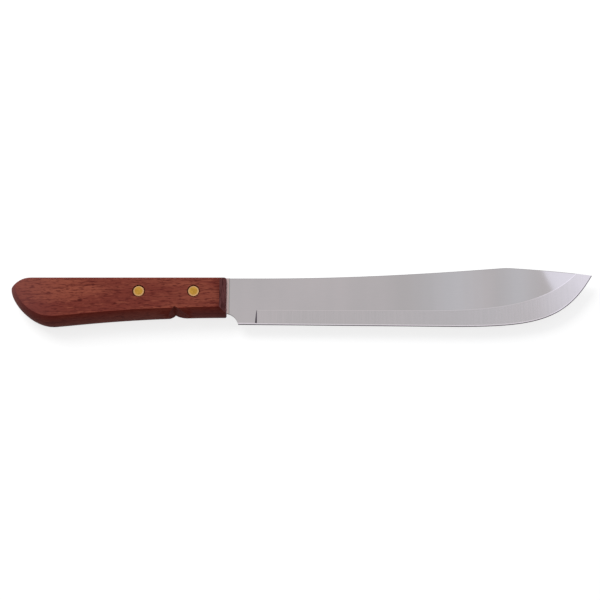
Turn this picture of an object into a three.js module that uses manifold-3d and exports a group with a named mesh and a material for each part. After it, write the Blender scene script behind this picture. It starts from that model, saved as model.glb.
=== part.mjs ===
// Meat knife: a thin stamped steel blade whose partial tang is let into a slotted
// hardwood handle, held by two two-piece cutler's rivets.
//
// Millimetres. While the pieces are made, x = 0 is the front end of the handle with +X
// towards the tip, y = 0 is the straight part of the spine with +Y towards the spine,
// and z = 0 is the middle of the blade's thickness. At the end the knife is laid on its
// side with the middle of its box over the origin.

import * as THREE from 'three';
import { mergeVertices } from 'three/addons/utils/BufferGeometryUtils.js';
import Module from 'manifold-3d';

// Blade outline
const BLADE_LENGTH = 204;
const SPINE_RISE_START = 20;
const SPINE_RISE_EASE = 50;
const PEAK_POSITION = 157;
const PEAK_HEIGHT = 6.4;
const PEAK_ROUNDING = 4;
const PEAK_APPROACH = 40;
const PEAK_APPROACH_SLOPE = 0.08;
const CLIP_BULGE = 0.7;
const TIP_HEIGHT = 1.8;
const HEEL_POSITION = 6.7;
const HEEL_DEPTH = 27.2;
const BELLY_START = 128;
const BELLY_DEPTH = 28.4;
const BELLY_EASE = 43.6;
const TIP_EASE = 31;
const TIP_ANGLE = 59;
const NECK_DEPTH = 20.6;
const CHOIL_HOLLOW = 1.4;

// Blade sections
const BLADE_THICKNESS = 1.5;
const NECK_STRIP = 1.7;
const FLAT_RELIEF = 0.05;
const GRIND_DEPTH = 18.7;
const GRIND_CURVE_START = 110;
const GRIND_CURVE_DEPTH = 19;
const GRIND_EASE = 36;
const GRIND_TIP_EASE = 27;
const GRIND_TIP_ANGLE = 45.7;
const GRIND_TIP_RUN = 9;
const GRIND_EDGE_THICKNESS = 0.36;
const PLUNGE_POSITION = 15.8;
const PLUNGE_LEAN = 1.2;
const PLUNGE_RAMP = 0.9;
const EDGE_BEVEL_WIDTH = 0.7;
const EDGE_THICKNESS = 0.08;

// Tang
const TANG_PAST_RIVET = 29.7;
const TANG_HEIGHT = 18.5;
const TANG_CORNER = 6;

// Handle
const HANDLE_LENGTH = 119.7;
const HANDLE_THICKNESS = 16;
const FRONT_HEIGHT = 22.5;
const BUTT_DEPTH = 27.9;
const BUTT_LOW_POSITION = 96;
const BUTT_CORNER_DEPTH = 6.9;
const BUTT_CORNER_RUN = 10.4;
const BUTT_CORNER_EASE = 9;
const BUTT_CORNER_TURN = 1.5;
const BUTT_SIDE_EASE = 7.6;
const BUTT_LOBE_EASE = 11.3;
const BELLY_LOBE_EASE = 6.4;
const GRIP_EASE = 55;
const CROWN = 3.1;
const FRONT_CHAMFER = 3.9;
const FRONT_TOP_RADIUS = 2.2;
const FRONT_BOTTOM_RADIUS = 0.8;
const NOTCH_POSITION = 28.4;
const NOTCH_DEPTH = 4.1;
const NOTCH_REAR_ANGLE = 45;
const NOTCH_FRONT_RUN = 9;

// Rivets
const RIVET_FRONT_POSITION = 18;
const RIVET_SPACING = 30.3;
const RIVET_DEPTH = 10.1;
const RIVET_HEAD_DIAMETER = 6.3;
const RIVET_HEAD_THICKNESS = 1.3;
const RIVET_RIM_RADIUS = 0.5;
const RIVET_TUBE_DIAMETER = 4.4;
const RIVET_SHANK_DIAMETER = 2.9;
const RIVET_TUBE_PAST_TANG = 2.2;
const RIVET_BORE_FLOOR = 1;
const RIVET_LEAD_IN = 0.4;

// Clearances between pieces
const SLOT_CLEARANCE = 0.15;
const SHOULDER_CLEARANCE = 0.3;
const RIVET_FIT_CLEARANCE = 0.15;
const HEAD_SIDE_CLEARANCE = 0.25;
const HEAD_SEAT_CLEARANCE = 0.1;
const HEAD_RECESS = 0.05;

// Facets
const BLADE_STEPS = 24;
const HANDLE_STEPS = 12;
const CROWN_STEPS = 12;
const RIM_STEPS = 4;
const ROUND_SEGMENTS = 32;

// Reach of a cutter past the surface that it cuts
const OVERCUT = 2;

const STEEL = { color: 0xb4aeae, roughness: 0.28, metalness: 1 };
const HARDWOOD = { color: 0x6e3626, roughness: 0.38, metalness: 0 };
const BRASS = { color: 0xb9894e, roughness: 0.35, metalness: 1 };

const wasm = await Module();
wasm.setup();

const vec = (x, y) => new THREE.Vector2(x, y);
const TANG_THICKNESS = BLADE_THICKNESS + 2 * FLAT_RELIEF;
const TANG_LENGTH = RIVET_FRONT_POSITION + RIVET_SPACING + TANG_PAST_RIVET;
const HALF_HANDLE = HANDLE_THICKNESS / 2;
const TIP = vec(BLADE_LENGTH, TIP_HEIGHT);
const RIVET_POSITIONS = {
  front: -RIVET_FRONT_POSITION,
  rear: -RIVET_FRONT_POSITION - RIVET_SPACING,
};

// Closed geometry to solid and back

function solid(geometry) {
  geometry.deleteAttribute('normal');
  geometry.deleteAttribute('uv');
  const merged = mergeVertices(geometry);
  return new wasm.Manifold(new wasm.Mesh({
    numProp: 3,
    vertProperties: new Float32Array(merged.attributes.position.array),
    triVerts: new Uint32Array(merged.index.array),
  }));
}

function geometryOf(body) {
  const { vertProperties, triVerts } = body.getMesh();
  const geometry = new THREE.BufferGeometry();
  geometry.setAttribute('position', new THREE.BufferAttribute(new Float32Array(vertProperties), 3));
  geometry.setIndex(new THREE.BufferAttribute(new Uint32Array(triVerts), 1));
  return geometry;
}

// A flat outline made a plate, centred on the middle of the blade
function plate(outline, thickness, curveSegments) {
  const geometry = new THREE.ExtrudeGeometry(outline, {
    depth: thickness,
    bevelEnabled: false,
    curveSegments,
  });
  return solid(geometry.translate(0, 0, -thickness / 2));
}

// A pin along Z between two heights
function pin(x, y, diameter, low, high) {
  const radius = diameter / 2;
  const geometry = new THREE.CylinderGeometry(radius, radius, high - low, ROUND_SEGMENTS);
  return solid(geometry.rotateX(Math.PI / 2).translate(x, y, (low + high) / 2));
}

// A skin through rings of equally many points, closed by its first and last ring
function loft(rings, capTriangles) {
  const count = rings[0].length;
  const positions = rings.flat().flatMap((p) => [p.x, p.y, p.z]);
  const faces = [];
  for (let ring = 0; ring + 1 < rings.length; ring += 1) {
    for (let side = 0; side < count; side += 1) {
      const a = ring * count + side;
      const b = ring * count + ((side + 1) % count);
      faces.push(a, b, b + count, a, b + count, a + count);
    }
  }
  const last = (rings.length - 1) * count;
  for (const [a, b, c] of capTriangles) {
    faces.push(a, c, b, last + a, last + b, last + c);
  }
  const geometry = new THREE.BufferGeometry();
  geometry.setAttribute('position', new THREE.Float32BufferAttribute(positions, 3));
  geometry.setIndex(faces);
  return solid(geometry);
}

const mirrored = (body) => body.mirror([0, 0, 1]);

// Blade

const heel = vec(HEEL_POSITION, -HEEL_DEPTH);
const bellyStart = vec(BELLY_START, -BELLY_DEPTH);
const grindCurveStart = vec(GRIND_CURVE_START, -GRIND_CURVE_DEPTH);
const peak = vec(PEAK_POSITION, PEAK_HEIGHT);

// The point a distance back from an end, along a direction in degrees
function backFrom(end, distance, degrees) {
  const angle = THREE.MathUtils.degToRad(degrees);
  return vec(end.x - distance * Math.cos(angle), end.y - distance * Math.sin(angle));
}

const bellyCurve = new THREE.CubicBezierCurve(
  bellyStart,
  vec(bellyStart.x + BELLY_EASE, bellyStart.y),
  backFrom(TIP, TIP_EASE, TIP_ANGLE),
  TIP,
);

// The line where the flat ends and the grind begins runs out on the clip, behind the tip
const clipRun = GRIND_TIP_RUN / (TIP.x - peak.x);
const grindEnd = TIP.clone().lerp(peak, clipRun);
const grindCurve = new THREE.CubicBezierCurve(
  grindCurveStart,
  vec(grindCurveStart.x + GRIND_EASE, grindCurveStart.y),
  backFrom(grindEnd, GRIND_TIP_EASE, GRIND_TIP_ANGLE),
  grindEnd,
);

function bladeOutline() {
  const clipSlope = (TIP.y - peak.y) / (TIP.x - peak.x);
  const clipStart = vec(peak.x + PEAK_ROUNDING, peak.y + PEAK_ROUNDING * clipSlope);
  const clipMiddle = clipStart.clone().lerp(TIP, 0.5);
  const peakStart = vec(peak.x - PEAK_ROUNDING, peak.y - PEAK_ROUNDING * PEAK_APPROACH_SLOPE);
  const neck = vec(SHOULDER_CLEARANCE, -NECK_DEPTH);
  const acrossChoil = vec(neck.y - heel.y, heel.x - neck.x).normalize();
  const choil = neck.clone().lerp(heel, 0.5).addScaledVector(acrossChoil, 2 * CHOIL_HOLLOW);
  const corner = vec(-TANG_LENGTH + TANG_CORNER, -TANG_HEIGHT + TANG_CORNER);

  const outline = new THREE.Shape();
  outline.moveTo(-TANG_LENGTH, 0);
  outline.lineTo(-TANG_LENGTH, corner.y);
  outline.absarc(corner.x, corner.y, TANG_CORNER, Math.PI, 1.5 * Math.PI, false);
  outline.lineTo(neck.x, -TANG_HEIGHT);
  outline.lineTo(neck.x, neck.y);
  outline.quadraticCurveTo(choil.x, choil.y, heel.x, heel.y);
  outline.lineTo(bellyStart.x, bellyStart.y);
  outline.bezierCurveTo(
    bellyCurve.v1.x, bellyCurve.v1.y, bellyCurve.v2.x, bellyCurve.v2.y, TIP.x, TIP.y,
  );
  outline.quadraticCurveTo(clipMiddle.x, clipMiddle.y + CLIP_BULGE, clipStart.x, clipStart.y);
  outline.quadraticCurveTo(peak.x, peak.y, peakStart.x, peakStart.y);
  outline.bezierCurveTo(
    peakStart.x - PEAK_APPROACH, peakStart.y - PEAK_APPROACH * PEAK_APPROACH_SLOPE,
    SPINE_RISE_START + SPINE_RISE_EASE, 0, SPINE_RISE_START, 0,
  );
  return outline;
}

// A station of a grind: a ruling from a point high on the face to a point on the edge,
// each with its height above the middle of the blade
const station = (high, highZ, low, lowZ) => ({ high, highZ, low, lowZ });

// The steel above a row of rulings, as one body to take off the face
function grindCutter(stations) {
  const rings = stations.map(({ high, highZ, low, lowZ }) => {
    const ruling = low.clone().sub(high);
    const length = ruling.length();
    const fall = (highZ - lowZ) / length;
    ruling.divideScalar(length);
    const top = high.clone().addScaledVector(ruling, -EDGE_BEVEL_WIDTH);
    const bottom = low.clone().addScaledVector(ruling, OVERCUT);
    return [
      new THREE.Vector3(top.x, top.y, highZ + fall * EDGE_BEVEL_WIDTH),
      new THREE.Vector3(top.x, top.y, BLADE_THICKNESS + OVERCUT),
      new THREE.Vector3(bottom.x, bottom.y, BLADE_THICKNESS + OVERCUT),
      new THREE.Vector3(bottom.x, bottom.y, lowZ - fall * OVERCUT),
    ];
  });
  return loft(rings, [[0, 1, 2], [0, 2, 3]]);
}

// The edge at a distance from the handle, on its straight part
function straightEdge(x) {
  return heel.clone().lerp(bellyStart, (x - heel.x) / (bellyStart.x - heel.x));
}

// Rulings along the ground part, from the plunge to past the tip
function grindRulings() {
  const half = BLADE_THICKNESS / 2;
  const grindStart = vec(PLUNGE_POSITION + PLUNGE_LEAN, -GRIND_DEPTH);
  const rulings = [
    { high: grindStart, low: straightEdge(PLUNGE_POSITION + PLUNGE_RAMP) },
  ];
  for (let step = 0; step <= BLADE_STEPS; step += 1) {
    const along = step / BLADE_STEPS;
    rulings.push({ high: grindCurve.getPoint(along), low: bellyCurve.getPoint(along) });
  }
  const pastTip = vec(TIP.y - grindEnd.y, grindEnd.x - TIP.x).setLength(-OVERCUT);
  rulings.push({ high: grindEnd.clone().add(pastTip), low: TIP.clone().add(pastTip) });
  return rulings.map(({ high, low }) => station(high, half, low, GRIND_EDGE_THICKNESS / 2));
}

function primaryGrind() {
  const clear = BLADE_THICKNESS / 2 + FLAT_RELIEF;
  const rulings = grindRulings();
  const start = rulings[0];
  const plunge = station(
    vec(start.high.x - PLUNGE_RAMP / 2, start.high.y), clear, straightEdge(PLUNGE_POSITION), clear,
  );
  return grindCutter([plunge, ...rulings]);
}

// The narrow bevel that carries the edge, as wide on the full-thickness heel as on the grind
function edgeBevel() {
  const half = BLADE_THICKNESS / 2;
  const edgeZ = EDGE_THICKNESS / 2;
  const above = (low) => vec(low.x, low.y + EDGE_BEVEL_WIDTH);
  const heelStations = [straightEdge(heel.x - OVERCUT), straightEdge(PLUNGE_POSITION)].map(
    (low) => station(above(low), half, low, edgeZ),
  );
  const groundStations = grindRulings().map(({ high, highZ, low, lowZ }) => {
    const share = EDGE_BEVEL_WIDTH / high.distanceTo(low);
    const inner = low.clone().lerp(high, share);
    return station(inner, THREE.MathUtils.lerp(lowZ, highZ, share), low, edgeZ);
  });
  return grindCutter([...heelStations, ...groundStations]);
}

// The polished flats stand a little lower than the strip of rolled steel at the handle
function flatRelief() {
  const outline = new THREE.Shape();
  outline.moveTo(NECK_STRIP, -BELLY_DEPTH - OVERCUT);
  outline.lineTo(BLADE_LENGTH + OVERCUT, -BELLY_DEPTH - OVERCUT);
  outline.lineTo(BLADE_LENGTH + OVERCUT, PEAK_HEIGHT + OVERCUT);
  outline.lineTo(NECK_STRIP, PEAK_HEIGHT + OVERCUT);
  const geometry = new THREE.ExtrudeGeometry(outline, { depth: OVERCUT, bevelEnabled: false });
  return solid(geometry.translate(0, 0, BLADE_THICKNESS / 2));
}

function bladeSolid() {
  let blade = plate(bladeOutline(), TANG_THICKNESS, BLADE_STEPS);
  for (const cutter of [flatRelief(), primaryGrind(), edgeBevel()]) {
    blade = blade.subtract(cutter).subtract(mirrored(cutter));
  }
  for (const x of Object.values(RIVET_POSITIONS)) {
    const hole = RIVET_TUBE_DIAMETER + 2 * RIVET_FIT_CLEARANCE;
    blade = blade.subtract(pin(x, -RIVET_DEPTH, hole, -OVERCUT, OVERCUT));
  }
  return blade;
}

// Handle

// The side outline, drawn in by an inset that leaves the front end where it is
function handleOutline(inset) {
  const top = -inset;
  const frontBottom = -FRONT_HEIGHT + inset;
  const butt = vec(-HANDLE_LENGTH + inset, -BUTT_CORNER_DEPTH);
  const cornerStart = -HANDLE_LENGTH + BUTT_CORNER_RUN + inset / 2;
  const low = vec(-BUTT_LOW_POSITION, -BUTT_DEPTH + inset);
  const outline = new THREE.Path();
  outline.moveTo(0, top - FRONT_TOP_RADIUS);
  outline.absarc(-FRONT_TOP_RADIUS, top - FRONT_TOP_RADIUS, FRONT_TOP_RADIUS, 0, Math.PI / 2, false);
  outline.lineTo(cornerStart, top);
  outline.bezierCurveTo(
    cornerStart - BUTT_CORNER_EASE, top, butt.x, butt.y + BUTT_CORNER_TURN, butt.x, butt.y,
  );
  outline.bezierCurveTo(
    butt.x, butt.y - BUTT_SIDE_EASE, low.x - BUTT_LOBE_EASE, low.y, low.x, low.y,
  );
  outline.bezierCurveTo(
    low.x + BELLY_LOBE_EASE, low.y, -GRIP_EASE, frontBottom, -FRONT_BOTTOM_RADIUS, frontBottom,
  );
  outline.absarc(
    -FRONT_BOTTOM_RADIUS, frontBottom + FRONT_BOTTOM_RADIUS, FRONT_BOTTOM_RADIUS,
    1.5 * Math.PI, 2 * Math.PI, false,
  );
  return outline.getPoints(HANDLE_STEPS);
}

// The block with flat sides and an arched top, underside and butt
function handleBlank() {
  const archRadius = (HALF_HANDLE ** 2 + CROWN ** 2) / (2 * CROWN);
  const archAngle = Math.asin(HALF_HANDLE / archRadius);
  const rings = [];
  for (let step = 0; step <= CROWN_STEPS; step += 1) {
    const angle = THREE.MathUtils.lerp(-archAngle, archAngle, step / CROWN_STEPS);
    const inset = archRadius * (1 - Math.cos(angle));
    const z = archRadius * Math.sin(angle);
    rings.push(handleOutline(inset).map((p) => new THREE.Vector3(p.x, p.y, z)));
  }
  return loft(rings, THREE.ShapeUtils.triangulateShape(handleOutline(CROWN), []));
}

// The corner taken off one side face at the front end
function frontChamfer() {
  const start = HALF_HANDLE - FRONT_CHAMFER;
  const reach = FRONT_CHAMFER + OVERCUT;
  const outline = new THREE.Shape();
  outline.moveTo(OVERCUT, start - OVERCUT);
  outline.lineTo(OVERCUT, start + reach);
  outline.lineTo(-reach, start + reach);
  const depth = BUTT_DEPTH + 2 * OVERCUT;
  const geometry = new THREE.ExtrudeGeometry(outline, { depth, bevelEnabled: false });
  return solid(geometry.rotateX(Math.PI / 2).translate(0, OVERCUT, 0));
}

// The finger notch across the arched underside, steep behind and easing out in front
function notchCutter() {
  const apex = vec(-NOTCH_POSITION, -FRONT_HEIGHT + NOTCH_DEPTH);
  const below = -BUTT_DEPTH - OVERCUT;
  const rearRun = (apex.y - below) / Math.tan(THREE.MathUtils.degToRad(NOTCH_REAR_ANGLE));
  const front = vec(apex.x + NOTCH_FRONT_RUN, -FRONT_HEIGHT);
  const outline = new THREE.Shape();
  outline.moveTo(apex.x - rearRun, below);
  outline.lineTo(front.x, below);
  outline.lineTo(front.x, front.y);
  outline.quadraticCurveTo(apex.x + NOTCH_FRONT_RUN / 2, front.y, apex.x, apex.y);
  return plate(outline, HANDLE_THICKNESS + 2 * OVERCUT, HANDLE_STEPS);
}

// The saw kerf for the tang, open along the top and at the front
function slotCutter() {
  const rear = -TANG_LENGTH - SLOT_CLEARANCE;
  const floor = -TANG_HEIGHT - SLOT_CLEARANCE;
  const corner = vec(rear + TANG_CORNER, floor + TANG_CORNER);
  const outline = new THREE.Shape();
  outline.moveTo(rear, OVERCUT);
  outline.lineTo(rear, corner.y);
  outline.absarc(corner.x, corner.y, TANG_CORNER, Math.PI, 1.5 * Math.PI, false);
  outline.lineTo(OVERCUT, floor);
  outline.lineTo(OVERCUT, OVERCUT);
  return plate(outline, TANG_THICKNESS + 2 * SLOT_CLEARANCE, HANDLE_STEPS);
}

function handleSolid() {
  const chamfer = frontChamfer();
  let handle = handleBlank().subtract(chamfer).subtract(mirrored(chamfer));
  handle = handle.subtract(notchCutter()).subtract(slotCutter());
  const bore = RIVET_TUBE_DIAMETER + 2 * RIVET_FIT_CLEARANCE;
  const sink = RIVET_HEAD_DIAMETER + 2 * HEAD_SIDE_CLEARANCE;
  const sinkDepth = HEAD_RECESS + RIVET_HEAD_THICKNESS + HEAD_SEAT_CLEARANCE;
  const past = HALF_HANDLE + OVERCUT;
  for (const x of Object.values(RIVET_POSITIONS)) {
    const counterbore = pin(x, -RIVET_DEPTH, sink, HALF_HANDLE - sinkDepth, past);
    handle = handle.subtract(pin(x, -RIVET_DEPTH, bore, -past, past));
    handle = handle.subtract(counterbore).subtract(mirrored(counterbore));
  }
  return handle;
}

// Rivets: profiles run from the middle of the handle out to the head

const headTop = HALF_HANDLE - HEAD_RECESS;
const headSeat = headTop - RIVET_HEAD_THICKNESS;

function finishHead(profile) {
  const radius = RIVET_HEAD_DIAMETER / 2;
  const rim = RIVET_RIM_RADIUS;
  profile.lineTo(radius, headSeat);
  profile.absarc(radius - rim, headTop - rim, rim, 0, Math.PI / 2, false);
  profile.lineTo(0, headTop);
  return new THREE.LatheGeometry(profile.getPoints(RIM_STEPS), ROUND_SEGMENTS);
}

// The half with a solid shank, whose head shows on the upper side
function rivetPost() {
  const radius = RIVET_SHANK_DIAMETER / 2;
  const end = -headSeat + RIVET_BORE_FLOOR;
  const profile = new THREE.Path();
  profile.moveTo(0, end);
  profile.lineTo(radius - RIVET_LEAD_IN, end);
  profile.lineTo(radius, end + RIVET_LEAD_IN);
  profile.lineTo(radius, headSeat);
  return finishHead(profile).rotateX(Math.PI / 2);
}

// The half with a tube that takes the shank, whose head shows on the lower side
function rivetCap() {
  const tube = RIVET_TUBE_DIAMETER / 2;
  const bore = RIVET_SHANK_DIAMETER / 2 + RIVET_FIT_CLEARANCE;
  const floor = headSeat - RIVET_BORE_FLOOR + RIVET_FIT_CLEARANCE;
  const end = -TANG_THICKNESS / 2 - RIVET_TUBE_PAST_TANG;
  const profile = new THREE.Path();
  profile.moveTo(0, floor);
  profile.lineTo(bore, floor);
  profile.lineTo(bore, end);
  profile.lineTo(tube, end);
  profile.lineTo(tube, headSeat);
  return finishHead(profile).rotateX(-Math.PI / 2);
}

// Assembly

function piece(name, geometry, finish) {
  const mesh = new THREE.Mesh(geometry, new THREE.MeshStandardMaterial(finish));
  mesh.name = name;
  return mesh;
}

const knife = new THREE.Group();
knife.add(piece('blade', geometryOf(bladeSolid()), STEEL));
knife.add(piece('handle', geometryOf(handleSolid()), HARDWOOD));

for (const [place, x] of Object.entries(RIVET_POSITIONS)) {
  const rivet = new THREE.Group();
  rivet.add(piece(`${place}_rivet_post`, rivetPost(), BRASS));
  rivet.add(piece(`${place}_rivet_cap`, rivetCap(), BRASS));
  rivet.position.set(x, -RIVET_DEPTH, 0);
  knife.add(rivet);
}

// Lay the knife on its side over the origin
const box = new THREE.Box3().setFromObject(knife);
const centre = box.getCenter(new THREE.Vector3());
knife.position.set(-centre.x, -centre.y, -box.min.z);

export default knife;
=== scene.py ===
"""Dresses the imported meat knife: lacquered hardwood handle, ground steel blade and brass rivets."""

import math

import bmesh
import bpy
from bmesh.types import BMEdge, BMFace, BMVert
from bpy.props import FloatProperty, FloatVectorProperty, PointerProperty
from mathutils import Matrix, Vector
from mathutils.geometry import interpolate_bezier


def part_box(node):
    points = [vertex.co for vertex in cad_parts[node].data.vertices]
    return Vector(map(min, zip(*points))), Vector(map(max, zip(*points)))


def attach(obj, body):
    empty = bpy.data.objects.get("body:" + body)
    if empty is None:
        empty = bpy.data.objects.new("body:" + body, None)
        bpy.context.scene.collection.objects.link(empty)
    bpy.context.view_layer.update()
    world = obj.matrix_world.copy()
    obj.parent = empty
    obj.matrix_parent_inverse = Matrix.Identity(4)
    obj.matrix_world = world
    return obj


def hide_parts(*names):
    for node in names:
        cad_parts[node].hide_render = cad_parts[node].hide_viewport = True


bl_info = {
    "name": "Meat Knife",
    "version": (1, 0, 0),
    "blender": (4, 5, 0),
    "location": "3D View > Sidebar > Knife",
    "description": "Models and finishes a riveted meat knife around its packed frame",
    "category": "Object",
}

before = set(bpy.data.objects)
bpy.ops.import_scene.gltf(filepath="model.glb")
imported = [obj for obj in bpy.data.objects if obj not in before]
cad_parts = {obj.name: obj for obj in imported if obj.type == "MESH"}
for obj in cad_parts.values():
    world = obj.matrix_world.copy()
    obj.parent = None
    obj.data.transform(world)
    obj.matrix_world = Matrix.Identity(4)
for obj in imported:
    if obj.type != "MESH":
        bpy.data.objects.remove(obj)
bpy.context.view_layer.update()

MM = 0.001
MERGE = 0.001 * MM
BODY = "root"

# The datum is the front end of the handle, level with its top, in the middle of the blade
HANDLE_LOW, HANDLE_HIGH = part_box("handle")
BLADE_LOW, BLADE_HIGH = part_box("blade")
DATUM = Vector((HANDLE_HIGH.x, HANDLE_HIGH.y, (HANDLE_LOW.z + HANDLE_HIGH.z) / 2))
HANDLE_LENGTH, HANDLE_DEPTH, HANDLE_THICKNESS = HANDLE_HIGH - HANDLE_LOW
BLADE_REACH = BLADE_HIGH.x - DATUM.x
TANG_REACH = DATUM.x - BLADE_LOW.x
TANG_HALF = (BLADE_HIGH.z - BLADE_LOW.z) / 2
RIVETS = ("front", "rear")
HEAD_LOW, HEAD_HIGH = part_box("front_rivet_post")
HEAD_RADIUS = (HEAD_HIGH.x - HEAD_LOW.x) / 2
HEAD_TOP = HEAD_HIGH.z - DATUM.z
RIVET_AXES = {place: sum(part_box(f"{place}_rivet_post"), Vector()).xy / 2 - DATUM.xy for place in RIVETS}


def paint(red, green, blue):
    """A colour as it is seen, 0 to 255, in the linear numbers that shaders take."""
    def linear(value):
        value /= 255
        return value / 12.92 if value <= 0.04045 else ((value + 0.055) / 1.055) ** 2.4
    return tuple(linear(value) for value in (red, green, blue))


def length(name, description, millimetres):
    """A length property with its default in millimetres."""
    return FloatProperty(name=name, description=description, default=millimetres * MM,
                         subtype="DISTANCE", unit="LENGTH")


def angle(name, description, degrees):
    """An angle property with its default in degrees."""
    return FloatProperty(name=name, description=description, default=math.radians(degrees),
                         subtype="ANGLE", unit="ROTATION")


def colour(name, description, red, green, blue):
    """A colour property with its default as it is seen."""
    return FloatVectorProperty(name=name, description=description, size=3, subtype="COLOR",
                               min=0, max=1, default=paint(red, green, blue))


def number(name, description, default, subtype="NONE"):
    """A number property, plain or in a subtype's unit."""
    return FloatProperty(name=name, description=description, default=default, subtype=subtype)


def fraction(name, description, default):
    """A number property from 0 to 1."""
    return FloatProperty(name=name, description=description, default=default, subtype="FACTOR",
                         min=0, max=1)


class KnifeHandleSettings(bpy.types.PropertyGroup):
    """Sizes and colours of the hardwood handle"""

    front_height: length("Front height", "Height of the handle at its front end", 22.5)
    crown: length("Crown", "Rise of the arched top, underside and butt", 3.1)
    front_chamfer: length("Front chamfer", "Corner taken off each side at the front", 3.7)
    top_radius: length("Top radius", "Radius of the top corner at the front", 1.4)
    bottom_radius: length("Bottom radius", "Radius of the bottom corner at the front", 0.8)
    butt_low: length("Butt low point", "Distance of the lowest point behind the front", 96)
    butt_corner: length("Butt corner", "Depth of the rearmost point below the top", 6.9)
    butt_run: length("Butt run", "Length of the curve over the butt", 10.4)
    butt_ease: length("Butt ease", "Fullness of the curve over the butt", 6.5)
    butt_turn: length("Butt turn", "Fullness of the corner above the rearmost point", 0.8)
    butt_side: length("Butt side", "Fullness of the curve below the rearmost point", 7.6)
    lobe: length("Lobe", "Fullness of the lobe behind its lowest point", 11.3)
    belly: length("Belly", "Fullness of the lobe before its lowest point", 6.4)
    grip: length("Grip", "Reach of the straight part of the underside", 55)
    notch: length("Notch place", "Distance of the finger notch behind the front", 28.4)
    notch_depth: length("Notch depth", "Depth of the finger notch", 3.5)
    notch_run: length("Notch run", "Length of the notch's easy front slope", 9)
    softening: length("Softening", "Rounding sanded on the edges", 0.35)
    slot_gap: length("Slot gap", "Gap on each side of the tang in its slot", 0.05)
    slot_depth: length("Slot depth", "Depth of the slot for the tang", 18.6)
    knot_place: length("Knot place", "Distance of the small knot behind the front", 80.7)
    knot_depth: length("Knot depth", "Depth of the small knot below the top", 15.5)
    grain_shift: length("Grain shift", "Shift of the grain's pattern across the handle", 130)
    # Painted shade: the darkening behind the front chamfer
    front_shade: length("Front shade", "Reach of the shade behind the front chamfer", 3.8)
    butt_fade: length("Butt fade", "Reach of the paler wood at the butt", 36)
    # Painted shade: the stain along the edges stands in for the shade just past the edges of the sides
    edge_shade_width: length("Stain width", "Reach of the dark stain from the edges of the sides", 3.6)
    edge_shade_strength: fraction("Stain strength", "Strength of the stain along the edges", 0.8)
    # Painted sheen: the greying of the underside stands in for the lacquer's reflection of the floor
    underside_painted_sheen: fraction("Underside wear", "Greying of the worn underside", 0.55)
    butt_wear: fraction("Butt wear", "Greying of the worn butt", 0.7)
    fade_strength: fraction("Fade strength", "Strength of the front shade and the paler butt", 0.35)
    wood: colour("Wood", "Main colour of the lacquered wood", 117, 55, 46)
    light_streak: colour("Light streak", "Colour of the light grain streaks", 146, 79, 62)
    dark_streak: colour("Dark streak", "Colour of the dark grain streaks", 82, 31, 29)
    pore: colour("Pore", "Colour of the fine open pores", 66, 22, 21)
    # Colour of the painted shade along the edges
    edge_shade: colour("Edge shade", "Colour of the stain along the edges", 102, 31, 23)
    end_grain: colour("End grain", "Colour of the wood cut across its grain", 112, 68, 68)
    end_line: colour("End line", "Colour of the lines in the end grain", 72, 36, 38)


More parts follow.
